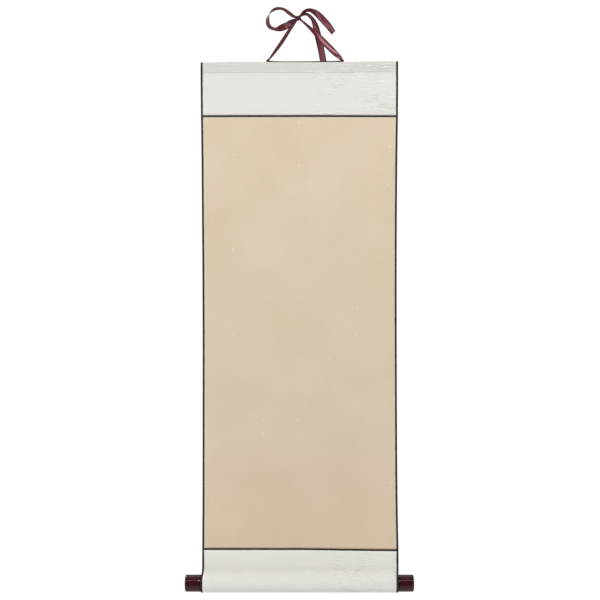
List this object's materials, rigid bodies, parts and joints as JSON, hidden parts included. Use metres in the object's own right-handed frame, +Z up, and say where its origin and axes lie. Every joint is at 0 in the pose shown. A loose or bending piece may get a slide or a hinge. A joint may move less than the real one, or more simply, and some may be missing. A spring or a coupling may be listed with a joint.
{
  "type": "paper scroll",
  "caption": "Blank hanging scroll with a paper panel between silk ends, dark edging, batten and roller with knobs, on a ribbon hanger.",
  "frame": {"origin": "underside of the ribbon's knot, where the nail carries the scroll", "axes": "+X to the right across the scroll as seen from the front, +Y back towards the wall, +Z up"},
  "size_m": [0.2916, 0.0264, 0.7421],
  "materials": {
    "backing": "matt laminated paper",
    "silk": "off-white figured silk, soft sheen",
    "dark_paper": "dark brown matt strip",
    "panel": "warm beige matt paper",
    "wood": "plain pale softwood",
    "lacquered_wood": "glossy dark red-brown lacquer",
    "wire": "plain dark wire",
    "satin": "maroon satin"
  },
  "bodies": {
    "root": {"backing_paper": "backing", "header_silk": "silk", "upper_divider": "dark_paper", "paper_panel": "panel", "lower_divider": "dark_paper", "footer_silk": "silk", "left_edging": "dark_paper", "right_edging": "dark_paper", "top_batten": "wood", "left_staple": "wire", "right_staple": "wire", "roller_dowel": "wood", "left_knob": "lacquered_wood", "right_knob": "lacquered_wood", "hanging_ribbon": "satin"}
  },
  "joints": []
}
